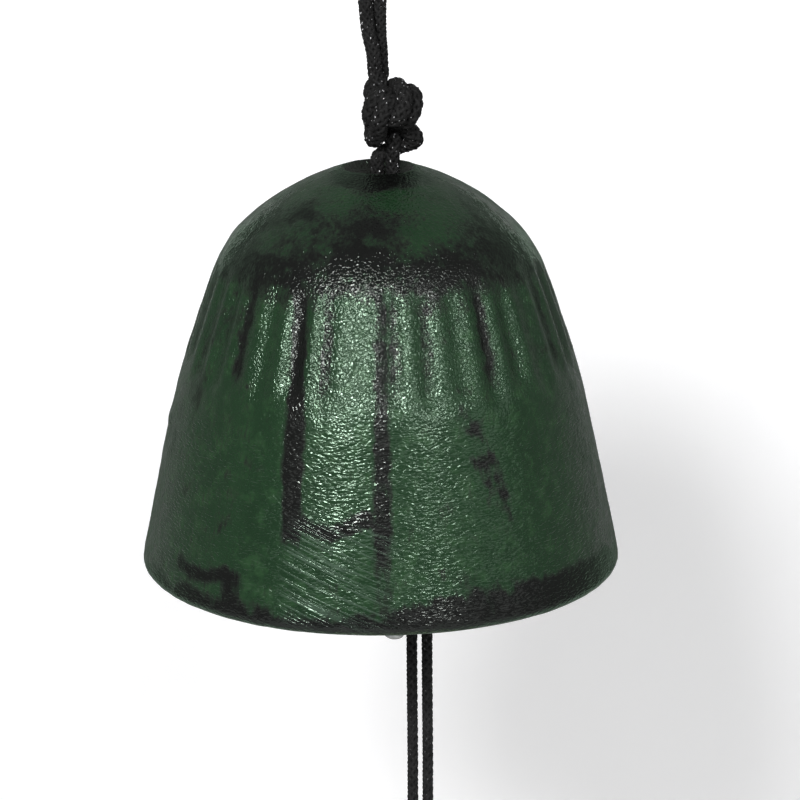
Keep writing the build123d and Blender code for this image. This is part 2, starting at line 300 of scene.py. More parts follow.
def knot_lines(body, head, foot, ends, thick, lift=0.0, droop=0.0):
    """The tied knot, set into its body (x from, x to, depth) between its ends, and the share that its cord thins by.

    Its cords start at the head's places and end at the foot's. Lift moves its bulk up, and droop spreads its
    lower half.
    """
    x_low, x_high, depth = body
    head_z, foot_z = ends
    middle_x, middle_z = (x_low + x_high) / 2, (head_z + foot_z) / 2
    size = (x_high - x_low - thick) / (tied_high[0] - tied_low[0])
    lines = []
    for cord, at_head, at_foot in zip(tied, head, foot):
        line = even(cord, 0.12)
        line = np.column_stack([
            x_low + thick / 2 + (line[:, 0] - tied_low[0]) * size,
            line[:, 1] * (depth - thick) / (tied_high[1] - tied_low[1]),
            foot_z + (line[:, 2] + knot_reach) / (2 * knot_reach) * (head_z - foot_z),
        ])
        bulk = 1 - ((line[:, 2] - middle_z) * 2 / (head_z - foot_z)) ** 2
        line[:, 2] += bulk * (lift + 0.07 * (line[:, 2] - middle_z))
        below = np.clip(middle_z - line[:, 2], 0, 3.2) * np.clip((line[:, 2] - foot_z - 1.2) / 1.5, 0, 1)
        beside = line[:, 0] - middle_x
        line[:, 0] += beside * below * np.where(beside > 0, droop, droop / 4)
        run = run_along(line)
        for place, reach, from_end in ((at_head, 1.5, run), (at_foot, 2.3, run[-1] - run)):
            pull = np.clip(1 - from_end / (thick * reach), 0, 1)
            pull = (pull * pull * (3 - 2 * pull))[:, None]
            line[:, :2] += pull * (np.array(place) - line[:, :2])
        line[0, 2], line[-1, 2] = head_z, foot_z
        lines.append(line)
    return lines, min(1.0, size / thick)


def slim_inside(ends, thick, share):
    """A cord's size along its way: full at a knot's ends, and drawn thinner or left fuller inside it."""
    head_z, foot_z = ends

    def sizes(points):
        from_end = np.minimum(np.abs(points[:, 2] - head_z), np.abs(points[:, 2] - foot_z))
        deep = np.clip(from_end / thick / 1.8, 0, 1)
        return 1 + (share - 1) * deep * deep * (3 - 2 * deep)

    return sizes


def make_knot(name, body, head, foot, ends, thick, material, more=()):
    lines, share = knot_lines(body, head, foot, ends, thick)
    return braid(name, [*lines, *more], thick, material, slim=slim_inside(ends, thick, share))


# Materials


class Tree:
    """A material or group being put together."""

    def __init__(self, tree):
        self.tree = tree

    def node(self, kind, **settings):
        made = self.tree.nodes.new("ShaderNode" + kind)
        inputs = settings.pop("inputs", {})
        for key, value in settings.items():
            setattr(made, key, value)
        for key, value in inputs.items():
            self.feed(made.inputs[key], value)
        return made

    def feed(self, socket, value):
        if isinstance(value, bpy.types.NodeSocket):
            self.tree.links.new(value, socket)
        elif isinstance(value, bpy.types.Node):
            self.tree.links.new(value.outputs[0], socket)
        else:
            socket.default_value = value

    def math(self, operation, first, second=0.0, third=0.0):
        return self.node("Math", operation=operation, inputs={0: first, 1: second, 2: third}).outputs[0]

    def ramp(self, value, low, high, to_low=0.0, to_high=1.0):
        """A smooth step of value from low to high."""
        return self.node("MapRange", interpolation_type="SMOOTHSTEP", inputs={
            "Value": value, "From Min": low, "From Max": high, "To Min": to_low, "To Max": to_high}).outputs[0]

    def mix(self, share, first, second):
        return self.node("Mix", data_type="RGBA", inputs={0: share, 6: first, 7: second}).outputs[2]

    def noise(self, vector, scale, detail=2.0, roughness=0.5, distortion=0.0):
        return self.node("TexNoise", inputs={
            "Vector": vector, "Scale": scale, "Detail": detail, "Roughness": roughness,
            "Distortion": distortion}).outputs["Fac"]

    def stretched(self, vector, scale, turn=(0.0, 0.0, 0.0)):
        return self.node("Mapping", inputs={"Vector": vector, "Scale": scale, "Rotation": turn}).outputs[0]

    def bump(self, shader, strength, distance, height):
        relief = self.node("Bump", inputs={"Strength": strength, "Distance": distance, "Height": height})
        self.feed(shader.inputs["Normal"], relief)

    def effect(self, group, **values):
        """A shared effect, placed here with its own values."""
        made = self.node("Group", node_tree=group)
        for label, value in values.items():
            self.feed(made.inputs[label], value)
        return made.outputs


def shared_effect(name, inputs, outputs):
    """An effect that more than one material uses, with named inputs and outputs."""
    group = bpy.data.node_groups.new(name, "ShaderNodeTree")
    for in_out, sockets in (("INPUT", inputs), ("OUTPUT", outputs)):
        for label, kind in sockets:
            group.interface.new_socket(label, in_out=in_out, socket_type="NodeSocket" + kind)
    given = group.nodes.new("NodeGroupInput").outputs
    result = group.nodes.new("NodeGroupOutput").inputs
    return group, Tree(group), given, result


def braided_yarn_effect():
    """Yarn of fine fibres, a few of which catch the light."""
    group, tree, given, result = shared_effect(
        "braided_yarn", [("Place", "Vector"), ("Shade", "Float"), ("Glints", "Float")],
        [("Colour", "Color"), ("Roughness", "Float"), ("Glint", "Float"), ("Height", "Float")])
    place = given["Place"]
    fibre = tree.noise(place, 5200, 3, 0.6)
    lumps = tree.noise(place, 900, 2, 0.5)
    glint = tree.ramp(tree.noise(tree.stretched(place, (1.0, 1.0, 0.5)), 4200, 0, 0.4), 0.78, 0.83)
    glint = tree.math("MULTIPLY", glint, given["Glints"])
    shade = tree.math("MULTIPLY", given["Shade"], tree.ramp(lumps, 0.3, 0.7, 0.7, 1.35))
    grey = tree.node("CombineColor", inputs={"Red": shade, "Green": shade, "Blue": shade})
    tree.feed(result["Colour"], tree.mix(glint, grey, (0.8, 0.8, 0.82, 1)))
    tree.feed(result["Roughness"], tree.ramp(fibre, 0.3, 0.7, 0.55, 0.9))
    tree.feed(result["Glint"], glint)
    tree.feed(result["Height"], fibre)
    return group


def cast_grain_effect():
    """The sandy skin of cast iron: round grains with pits and cracks between them."""
    group, tree, given, result = shared_effect("cast_grain", [("Place", "Vector"), ("Fineness", "Float")],
                                               [("Grain", "Float"), ("Pits", "Float")])
    fine = tree.noise(given["Place"], given["Fineness"], 1, 0.5, 0.5)
    cells = tree.node("TexVoronoi", feature="DISTANCE_TO_EDGE", inputs={
        "Vector": given["Place"], "Scale": tree.math("MULTIPLY", given["Fineness"], 0.62), "Randomness": 1.0})
    pits = tree.ramp(cells.outputs["Distance"], 0.0, 0.28)
    tree.feed(result["Pits"], pits)
    tree.feed(result["Grain"], tree.math("MULTIPLY_ADD", pits, 0.35, fine))
    return group


braided_yarn = braided_yarn_effect()
cast_grain = cast_grain_effect()


def new_material(name):
    material = bpy.data.materials.new(name)
    material.use_nodes = True
    material.node_tree.nodes.clear()
    tree = Tree(material.node_tree)
    shader = tree.node("BsdfPrincipled")
    output = tree.node("OutputMaterial")
    material.node_tree.links.new(shader.outputs[0], output.inputs["Surface"])
    return material, tree, shader


def cord_material(name, shade, glints):
    """Black braided cord."""
    material, tree, shader = new_material(name)
    place = tree.node("TexCoord").outputs["Object"]
    yarn = tree.effect(braided_yarn, Place=place, Shade=shade, Glints=glints)
    tree.feed(shader.inputs["Base Color"], yarn["Colour"])
    tree.feed(shader.inputs["Roughness"], yarn["Roughness"])
    tree.feed(shader.inputs["Metallic"], yarn["Glint"])
    tree.bump(shader, 0.7, 0.00006, yarn["Height"])
    shader.inputs["Specular IOR Level"].default_value = 0.16
    return material


hanging_material = cord_material("hanging_cord", 0.0115, 1.0)
tail_material = cord_material("tail_cord", 0.0145, 0.12)


# The loop over the hook and the large knot under it

(left_x, left_y), (right_x, right_y) = loop_places
loop_foot = top_knot_ends[0]
loop_route = [
    (left_x, left_y, loop_foot), (left_x, left_y, -30), (-0.55, -0.75, -26.8), (-0.92, -0.38, -22), (-1.4, 0, -17),
    (-3.05, 0, -9), (-3.05, 0, -4), (-3.05, 0, 1.05), (3.05, 0, 1.05), (3.05, 0, -4), (3.05, 0, -9),
    (1.5, 0, -17), (1.1, 0.38, -22), (1.0, 0.75, -26.8), (right_x, right_y, -30), (right_x, right_y, loop_foot),
]
loop_line = route_line(loop_route)
loop = braid("hook_loop", [loop_line], hanging_thick, hanging_material)

knot_full = 1.3  # the knot is as big as if its cord were thicker by this share
top_lines, _ = knot_lines((-1.6, 7.15, 9.2), loop_places, crown_places, top_knot_ends, hanging_thick * knot_full,
                          lift=1.1, droop=0.26)
top_knot = braid("top_knot_cords", top_lines, hanging_thick, hanging_material,
                 slim=slim_inside(top_knot_ends, hanging_thick, knot_full))

bpy.context.view_layer.update()
settle(top_knot, "knots", "hanging_cord", "top_knot")
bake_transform(loop)
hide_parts("hook_loop_bend", "loop_strand_left", "loop_strand_right")


# The bell casting

# Outer wall: share of the rim radius, share of the bell's height
wall_shares = [(0.155, 1.0), (0.288, 0.969), (0.441, 0.919), (0.571, 0.856), (0.647, 0.795), (0.709, 0.712),
               (0.825, 0.508), (0.906, 0.303), (0.985, 0.078)]
turn_steps = 416
flute_step = 360 / 35
flute_phase = 4.2
flute_depth = 0.62
flutes_from, flutes_to = 0.50, 0.80  # shares of the bell's height


def through(points, steps=12):
    """A smooth line through these points."""
    p = np.array([points[0], *points, points[-1]], float)
    p[0] = 2 * p[1] - p[2]
    p[-1] = 2 * p[-2] - p[-3]
    t = (np.arange(steps) / steps)[:, None]
    parts = [0.5 * (2 * b + (c - a) * t + (2 * a - 5 * b + 4 * c - d) * t**2 + (3 * b - a - 3 * c + d) * t**3)
             for a, b, c, d in zip(p, p[1:], p[2:], p[3:])]
    return np.vstack([*parts, p[-2:-1]])


def flat_even(line, spacing):
    return even(np.column_stack([line, np.zeros(len(line))]), spacing)[:, :2]


def arc(middle, radius, start, end, steps):
    angles = np.radians(np.linspace(start, end, steps))
    return np.column_stack([middle[0] + radius * np.cos(angles), middle[1] + radius * np.sin(angles)])


outer_points = [(r * rim_radius, h * bell_height) for r, h in wall_shares]
outer_line = flat_even(through([*outer_points, (rim_radius, 1.5)]), 0.56)


def bell_section():
    """The closed section of the casting: crown, outer wall, lip and inner wall, as radius and height."""
    top, under = bell_height, bell_height - crown_wall
    edge = crown_hole_radius
    hole = flat_even(np.array([(edge, under), (edge, top - 1.3)]), 0.6)
    dish = flat_even(np.array([(edge, top - 1.3), (4.3, top - 1.25), (4.95, top - 0.1), (5.27, top)]), 0.3)
    lip = np.vstack([arc((rim_radius - 1.5, 1.5), 1.5, -10, -88, 7),
                     arc((rim_radius - 1.55, 1.35), 1.35, -94, -180, 8)])
    way = np.gradient(outer_line, axis=0)
    way /= np.linalg.norm(way, axis=1)[:, None]
    inner = outer_line + wall * np.column_stack([way[:, 1], -way[:, 0]])
    inner = inner[(inner[:, 0] > 8.5) & (inner[:, 1] > 3)]
    inner = flat_even(through([(rim_radius - wall + 0.1, 1.35), *inner[::-12], (edge, under)], 6), 1.2)
    return np.vstack([hole, dish[1:-1], outer_line, lip, inner[1:-1]])


def turn_and_rise(places):
    """Degrees to the right of straight ahead, height over the rim and distance from the axis, in millimetres."""
    x, y = places[:, 0] - bell_x, places[:, 1]
    return np.degrees(np.arctan2(x, -y)), places[:, 2] - rim_z, np.hypot(x, y)


def near(value, middle, half, soft):
    """1 within half of the middle, falling to 0 over the soft edge."""
    return np.clip(1 - (np.abs(value - middle) - half) / soft, 0, 1)


def flute_at(turn):
    """The number of the flute at a turn, and the degrees from its middle."""
    number = np.round((turn - flute_phase) / flute_step)
    return number, (turn - flute_phase + flute_step / 2) % flute_step - flute_step / 2


def worn_flutes(turn, rise):
    """How deep the worn flutes are at a place on the wall."""
    part = (rise / bell_height - flutes_from) / (flutes_to - flutes_from)
    number, beside = flute_at(turn)
    reach = 0.05 * np.sin(number * 2.7)
    ends = np.clip(np.minimum(part + reach, 1 - part + 0.5 * reach) / 0.22, 0, 1)
    deep = flute_depth * ends * ends * (3 - 2 * ends) * (0.85 + 0.25 * np.sin(number * 1.9 + 1))
    deep *= 1 - 0.65 * near(turn, -12, 6, 5)
    return deep * np.cos(beside / flute_step * math.pi) ** 2


def uneven(places, scale, seed):
    """A smooth unevenness from -1 to 1 at these places."""
    shift = Vector((seed * 3.1, seed * 1.7, seed * 5.3))
    return np.array([noise.noise(Vector(p) * scale + shift) for p in places])


def bell_mesh():
    section = bell_section()
    made = bmesh.new()
    corners = [made.verts.new(((bell_x + r) * MM, 0, (rim_z + h) * MM)) for r, h in section]
    lines = [made.edges.new(pair) for pair in zip(corners, corners[1:] + corners[:1])]
    bmesh.ops.spin(made, geom=corners + lines, cent=(bell_x * MM, 0, 0), axis=(0, 0, 1), angle=2 * math.pi,
                   steps=turn_steps, use_merge=True)
    bmesh.ops.recalc_face_normals(made, faces=made.faces)
    mesh = mesh_from(made, "bell_casting")
    mesh.shade_smooth()
    return mesh


def store(mesh, name, values):
    """A value for each point of the mesh, which its material reads."""
    mesh.attributes.new(name, "FLOAT", "POINT").data.foreach_set("value", values.astype(np.float32))


def wear_bell(mesh):
    """The casting's flutes, its unevenness and the paint brushed over it."""
    count = len(mesh.vertices)
    places = np.zeros(count * 3)
    mesh.vertices.foreach_get("co", places)
    places = places.reshape(-1, 3) / MM
    out = np.zeros(count * 3, np.float32)
    mesh.vertices.foreach_get("normal", out)
    out = out.reshape(-1, 3)
    turn, rise, radius = turn_and_rise(places)
    wall_at = np.interp(-rise, -outer_line[:, 1], outer_line[:, 0])
    outside = np.clip((radius - wall_at + 1.2) / 0.8, 0, 1)
    outside[(rise > bell_height - 0.8) & (radius > 5)] = 1
    shift = outside * 0.15 * uneven(places, 0.075, 1)
    shift += 0.055 * uneven(places, 0.42, 2) * np.clip((rise + 1) / 3, 0.4, 1) * np.clip(outside + rise / 20, 0, 1)
    shift += outside * 0.035 * uneven(places, 0.95, 3)
    shift -= outside * worn_flutes(turn, rise)
    knob = np.exp(-((turn + 84) / 4.5) ** 2 - ((rise - 22.5) / 1.3) ** 2)
    shift += outside * 0.3 * knob
    places = places + out * shift[:, None]
    round_the_rim = np.column_stack([np.cos(np.radians(turn)), np.sin(np.radians(turn)), 0 * turn])
    low = np.clip(1 - rise / 4, 0, 1) * outside
    places[:, 2] += low * (0.22 * uneven(round_the_rim, 3.1, 4) + 0.17 * uneven(round_the_rim, 11, 5))
    mesh.vertices.foreach_set("co", (places * MM).astype(np.float32).ravel())
    brushed = black_paint(turn, rise, radius, places) * np.clip(outside + (rise > bell_height - 2), 0, 1)
    store(mesh, "black_paint", brushed)
    store(mesh, "inside", 1 - outside)
    store(mesh, "scratches", near(turn, -10.5, 11, 4) * near(rise, 8.2, 5.2, 3) * outside)
    mesh.update()


def black_paint(turn, rise, radius, places):
    """Where the brown-black paint lies thick over the green, from 0 to 1.

    Turns are in degrees to the right of straight ahead, and rises in millimetres over the rim.
    """
    drift = uneven(places, 0.16, 6)
    ragged = uneven(places, 0.5, 7)
    across_mm = np.radians(turn) * radius
    crown = np.clip(1.15 - (radius - 6.5 - 3.5 * drift) / 3.0, 0, 1) * (rise > 50)
    belt = near(rise, 47.2 + 1.2 * drift, 1.6 + 1.4 * ragged, 4.0) * (0.75 + 0.3 * drift)
    number, beside = flute_at(turn)
    keep = 0.38 + 0.36 * np.sin(number * 2.31 + 0.6)
    groove = near(beside, 0, 0.8 + ragged, 2.6) * near(rise, 39.5, 5.5 + 2 * drift, 4) * keep
    left_turn = np.interp(rise, [12, 31, 43.6, 46], [-22.4, -24.0, -27.7, -31.3])
    left = near(turn, left_turn + 0.8 * ragged, 1.5, 2.2) * near(rise, 30, 16.5, 3)
    middle = near(turn, 0.4 + 0.5 * ragged, 1.1, 2.0) * near(rise, 24, 21, 4) * (0.85 + 0.4 * drift)
    middle *= np.interp(rise, [7, 15], [0.62, 1])
    marks_turn = np.interp(rise, [16, 28], [32.2, 25.0])
    marks = near(turn, marks_turn, 1.2 + 1.5 * ragged, 3.2) * near(rise, 22, 6, 4) * (0.45 + 0.8 * ragged)
    curve_rise = np.interp(turn, [-21, -12.6, -2.7], [15.6, 14.3, 16.6])
    curve = near(rise, curve_rise - 0.6, 0.5, 1.2) * near(turn, -12, 9, 2)
    corner_rise = np.interp(turn, [-57, -48, -40], [5.9, 5.2, 6.4])
    corner = np.maximum(near(rise, corner_rise, 0.3, 1.4) * near(turn, -48.5, 9, 2),
                        near(turn, -38, 1.6, 2.4) * near(rise, 3.5, 3, 1.5)) * 0.85
    rim_reach = np.interp(turn, [-180, -75, -30, 0, 14, 40, 66, 100, 180],
                          [3, 2.4, 2.2, 2.6, 4.6, 5.0, 4.6, 3, 3])
    rim = np.clip(1.2 - (rise - rim_reach - 1.3 * ragged + 1.0) / 2.4, 0, 1)
    back = np.abs(turn) > 95
    streak_turn = (turn + 7 * drift + 9) % 31 - 15
    streaks = near(streak_turn, 0, 1.2 + ragged, 3.0) * near(rise, 28, 15 + 6 * drift, 5) * back * 0.7
    blotch = np.clip(uneven(places, 0.23, 8) * 1.6 - 0.5, 0, 1) * 0.6 + np.clip(ragged * 1.4 - 0.7, 0, 1) * 0.3
    shoulder = near(across_mm, 0, 40, 10) * np.clip(0.45 + drift, 0, 1) * near(rise, 52, 3, 5) * 0.6
    flank = np.clip((np.abs(turn - 8) - 38) / 25, 0, 1) * near(rise, 26, 14, 10) * 0.5
    flank *= np.clip(0.35 + 0.9 * drift, 0, 1)
    strokes = [crown, belt, groove, left, middle, marks, curve, corner, rim, streaks, blotch, shoulder, flank]
    return np.clip(np.maximum.reduce(strokes), 0, 1)


def lacquer_material():
    """Dark green lacquer over rough cast iron, with brown-black paint brushed over it in places."""
    material, tree, shader = new_material("lacquered_iron")
    place = tree.node("TexCoord").outputs["Object"]
    painted = tree.node("Attribute", attribute_name="black_paint").outputs["Fac"]
    inside = tree.node("Attribute", attribute_name="inside").outputs["Fac"]
    scratched = tree.node("Attribute", attribute_name="scratches").outputs["Fac"]
    brush = tree.noise(tree.stretched(place, (1.0, 1.0, 0.2)), 2100, 3, 0.6)
    blots = tree.noise(place, 480, 4, 0.6)
    wash = tree.noise(tree.stretched(place, (1.0, 1.0, 0.45)), 150, 3, 0.55)
    ragged = painted
    for mottle, share in ((brush, 0.9), (blots, 1.25), (wash, 0.8)):
        ragged = tree.math("ADD", ragged, tree.math("MULTIPLY", tree.math("SUBTRACT", mottle, 0.5), share))
    black = tree.ramp(ragged, 0.1, 0.82)
    green = tree.mix(wash, (0.0042, 0.0172, 0.0062, 1), (0.0115, 0.0395, 0.0142, 1))
    green = tree.mix(tree.ramp(blots, 0.45, 0.75), green, (0.017, 0.053, 0.018, 1))
    dark = tree.mix(blots, (0.020, 0.0215, 0.0205, 1), (0.037, 0.0365, 0.0365, 1))
    slanted = tree.stretched(tree.stretched(place, (1.0, 1.0, 1.0), (0.0, -0.40, 0.0)), (0.02, 0.02, 1.0))
    lines = tree.noise(slanted, 3700, 1, 0.5)
    cut = tree.math("MULTIPLY", scratched, tree.ramp(lines, 0.50, 0.60))
    colour = tree.mix(tree.math("MULTIPLY", cut, 0.45), tree.mix(black, green, dark), (0.075, 0.115, 0.085, 1))
    tree.feed(shader.inputs["Base Color"], tree.mix(inside, colour, (0.011, 0.0105, 0.010, 1)))
    tree.feed(shader.inputs["Metallic"], tree.math("MULTIPLY", black, tree.ramp(inside, 0.0, 1.0, 0.85, 0.0)))
    upper = tree.effect(cast_grain, Place=place, Fineness=2700.0)
    drawn_out = tree.stretched(place, (0.42, 0.42, 1.0), (0.0, -0.12, 0.0))
    lower = tree.effect(cast_grain, Place=drawn_out, Fineness=2900.0)
    rise = tree.node("SeparateXYZ", inputs={"Vector": place}).outputs["Z"]
    is_upper = tree.ramp(rise, -0.080, -0.070)
    grain = tree.node("Mix", inputs={0: is_upper, 2: lower["Grain"], 3: upper["Grain"]}).outputs[0]
    grain = tree.math("MULTIPLY", grain, tree.ramp(scratched, 0.0, 1.0, 1.0, 0.5))
    tree.bump(shader, 1.0, 0.000102, tree.math("MULTIPLY_ADD", cut, 0.28, grain))
    gloss = tree.math("ADD", tree.ramp(blots, 0.3, 0.7, 0.10, 0.22), tree.math("MULTIPLY", black, -0.08))
    facing = tree.node("LayerWeight", inputs={"Blend": 0.5}).outputs["Facing"]
    gloss = tree.math("ADD", gloss, tree.ramp(facing, 0.55, 1.0, 0.0, 0.4))
    tree.feed(shader.inputs["Roughness"], gloss)
    shader.inputs["Specular IOR Level"].default_value = 0.62
    shader.inputs["Specular Tint"].default_value = (0.74, 1.0, 0.78, 1)
    return material


lacquer = lacquer_material()
casting = bell_mesh()
wear_bell(casting)
casting.materials.append(lacquer)
bell = link(bpy.data.objects.new("bell_casting", casting))
settle(bell, "bell", "lacquered_iron", "bell_body")


def lip_bead():
    """A small drop of lacquer that set under the lip at the front."""
    made = bmesh.new()
    bmesh.ops.create_icosphere(made, subdivisions=4, radius=1.3 * MM)
    for v in made.verts:
        v.co.x *= 1.05
        v.co.y *= 0.72
        v.co.z *= 0.85 if v.co.z > 0 else 0.62
        v.co += v.normal * 0.06 * MM * noise.noise(v.co * 900)
    bmesh.ops.translate(made, verts=made.verts, vec=Vector((bell_x + 1.7, -32.2, rim_z + 0.12)) * MM)
    mesh = mesh_from(made, "lip_bead")
    mesh.shade_smooth()
    material, tree, shader = new_material("clear_lacquer")
    haze = tree.noise(tree.node("TexCoord").outputs["Object"], 1800, 3, 0.6)
    tree.feed(shader.inputs["Base Color"], tree.mix(haze, (0.16, 0.17, 0.165, 1), (0.34, 0.35, 0.34, 1)))
    tree.feed(shader.inputs["Roughness"], tree.ramp(haze, 0.3, 0.7, 0.12, 0.3))
    mesh.materials.append(material)
    return link(bpy.data.objects.new("lip_bead", mesh))


settle(lip_bead(), "bell", "lacquered_iron")


# The cord through the crown, the stop knot and the clapper's cord


def straight(places, top_z, foot_z):
    return [np.linspace((x, y, top_z), (x, y, foot_z), 5) for x, y in places]


crown_cords = braid("crown_cords", straight(crown_places, -44.6, -51.1), hanging_thick, hanging_material)
settle(crown_cords, "knots", "hanging_cord", "crown_strand_left", "crown_strand_right")

stop_knot = make_knot("stop_knot_cords", (-3.1, 5.9, 8.4), crown_places, clapper_places, stop_knot_ends,
                      hanging_thick, hanging_material)
settle(stop_knot, "knots", "hanging_cord", "stop_knot")

neck = braid("clapper_neck_cords", straight(clapper_places, -59.3, -63.5), hanging_thick, hanging_material)
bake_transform(neck)
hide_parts("clapper_neck")

trimmed_ends = [
    route_line([(-0.7, y, -103.5), (-0.7 + x * 0.3, y, -105.5), (-0.7 + x, y * 1.2, -109.6)])
    for x, y in ((-1.5, -1.09), (1.9, 1.09))
]
clapper_knot = make_knot("clapper_knot_cords", (-4.4, 3.0, 6.6), clapper_places, [(-0.9, -0.9), (-0.4, 0.9)],
                         clapper_knot_ends, hanging_thick * 0.92, hanging_material, trimmed_ends)
settle(clapper_knot, "clapper", "hanging_cord", "clapper_knot")

for side, (x, y) in zip(("front", "back"), clapper_places):
    line = route_line([(x, y, swing_z), (x, y, -75), (x, y, -87), (x, y, -98.22)])
    name = f"clapper_cord_{side}"
    strand = braid(name, [line], hanging_thick, hanging_material)
    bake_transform(strand)
    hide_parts(f"clapper_strand_{side}")

# The tail cord's hitch on the ring, its two strands and the strip's knot and loop
hitch_route = [
    (5.2, 0, -103.4), (5.2, 0, -101.6), (5.1, -0.5, -99.9), (4.3, -0.95, -99.05), (3.3, -0.95, -98.4),
    (3.15, -0.95, -95.6), (3.3, -0.95, -92.6), (5.2, -0.95, -92.05), (10.2, -0.95, -92.05), (11.8, -0.95, -92.7),
    (11.95, -0.95, -95.6), (11.8, -0.95, -98.4), (10.2, -1.2, -99.6), (8.4, -1.85, -100.5), (6.3, -2.1, -100.85),
    (3.9, -1.5, -100.85), (3.2, 0, -100.8), (3.9, 1.5, -100.85), (6.3, 2.1, -100.85), (8.4, 1.85, -100.5),
    (10.2, 1.2, -99.6), (11.8, 0.95, -98.4), (11.95, 0.95, -95.6), (11.8, 0.95, -92.7), (10.2, 0.95, -92.05),
    (5.2, 0.95, -92.05), (3.3, 0.95, -92.6), (3.15, 0.95, -95.6), (3.3, 0.95, -98.4), (5.0, 0.95, -99.05),
    (6.9, 0.6, -99.6), (7.4, 0, -101.2), (7.4, 0, -103.4),
]
hitch = braid("tail_hitch_cord", [route_line(hitch_route)], tail_thick, tail_material, yarns=4, fine=6)
settle(hitch, "clapper", "tail_cord", "tail_hitch")

trimmed_ends = [
    route_line([(strip_x, 0, -152.8), (strip_x + x * 0.5, -0.3, -152.4), (strip_x + x, -0.5, -151.2)])
    for x in (-6.4, 6.4)
]
strip_knot = make_knot("strip_knot_cords", (3.3, 9.3, 5.4), tail_places, [(strip_x, -1.8), (strip_x, 1.8)],
                       strip_knot_ends, tail_thick, tail_material, trimmed_ends)
settle(strip_knot, "strip_tie", "tail_cord", "strip_knot")

front_leg = [(-1.8, -156.0), (-2.3, -158.2), (-2.9, -160.6), (-2.5, strip_bend + 1.6), (-1.2, strip_bend - 0.25)]
strip_loop_route = [(strip_x, y, z) for y, z in [*front_leg, *((-y, z) for y, z in reversed(front_leg))]]
strip_loop = braid("strip_loop_cord", [route_line(strip_loop_route)], tail_thick, tail_material, yarns=4, fine=6)
settle(strip_loop, "strip_tie", "tail_cord", "strip_loop")

for side, (x, y), tied_to in zip(("left", "right"), tail_places, ([], [strip_knot, strip_loop])):
    line = route_line([
        (x, y, -102.22), (x, y, -108.22), (x - 0.05, y - 0.25, -120.0), (x + 0.05, y + 0.25, -133.11),
        (x, y, -143.02), (x, y, -149.02)])
    strand = braid(f"tail_cord_{side}", [line], tail_thick, tail_material, yarns=4, fine=6)
    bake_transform(strand)
    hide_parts(f"tail_strand_{side}")


# The clapper ring


def iron_material():
    """Bare cast iron, baked black: a sandy skin, rubbed brighter where it strikes."""
    material, tree, shader = new_material("bare_iron")
    place = tree.node("TexCoord").outputs["Object"]
    sand = tree.effect(cast_grain, Place=place, Fineness=1700.0)
    cloud = tree.noise(place, 260, 3, 0.5)
    colour = tree.mix(cloud, (0.024, 0.023, 0.022, 1), (0.055, 0.051, 0.047, 1))
    tree.feed(shader.inputs["Base Color"], tree.mix(sand["Pits"], (0.014, 0.0115, 0.010, 1), colour))
    tree.feed(shader.inputs["Roughness"], tree.ramp(sand["Grain"], 0.4, 0.9, 0.38, 0.62))
    tree.feed(shader.inputs["Metallic"], tree.ramp(cloud, 0.3, 0.7, 0.4, 0.8))
    tree.bump(shader, 0.8, 0.0001, sand["Grain"])
    return material


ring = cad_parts["clapper_ring"]
ring.data.materials.clear()
ring.data.materials.append(iron_material())


# The paper strip


def paper_material():
    """Plain handmade paper, with long fibres in the sheet."""
    material, tree, shader = new_material("paper")
    place = tree.node("TexCoord").outputs["Object"]
    pulp = tree.noise(place, 420, 4, 0.6)
    fibre = tree.noise(tree.stretched(place, (1.0, 1.0, 0.12), (0, 0.5, 0)), 1500, 2, 0.5, 0.6)
    stray = tree.ramp(tree.noise(tree.stretched(place, (0.14, 1.0, 1.0), (0, 0.9, 0)), 900, 2, 0.5, 0.8), 0.68, 0.72)
    sheet = tree.mix(pulp, (0.70, 0.65, 0.53, 1), (0.80, 0.76, 0.65, 1))
    sheet = tree.mix(tree.ramp(fibre, 0.58, 0.72, 0, 0.5), sheet, (0.86, 0.83, 0.74, 1))
    tree.feed(shader.inputs["Base Color"], tree.mix(stray, sheet, (0.58, 0.50, 0.37, 1)))
    shader.inputs["Roughness"].default_value = 0.85
    tree.bump(shader, 0.5, 0.00008, tree.math("ADD", pulp, tree.math("MULTIPLY", fibre, 0.7)))
    return material


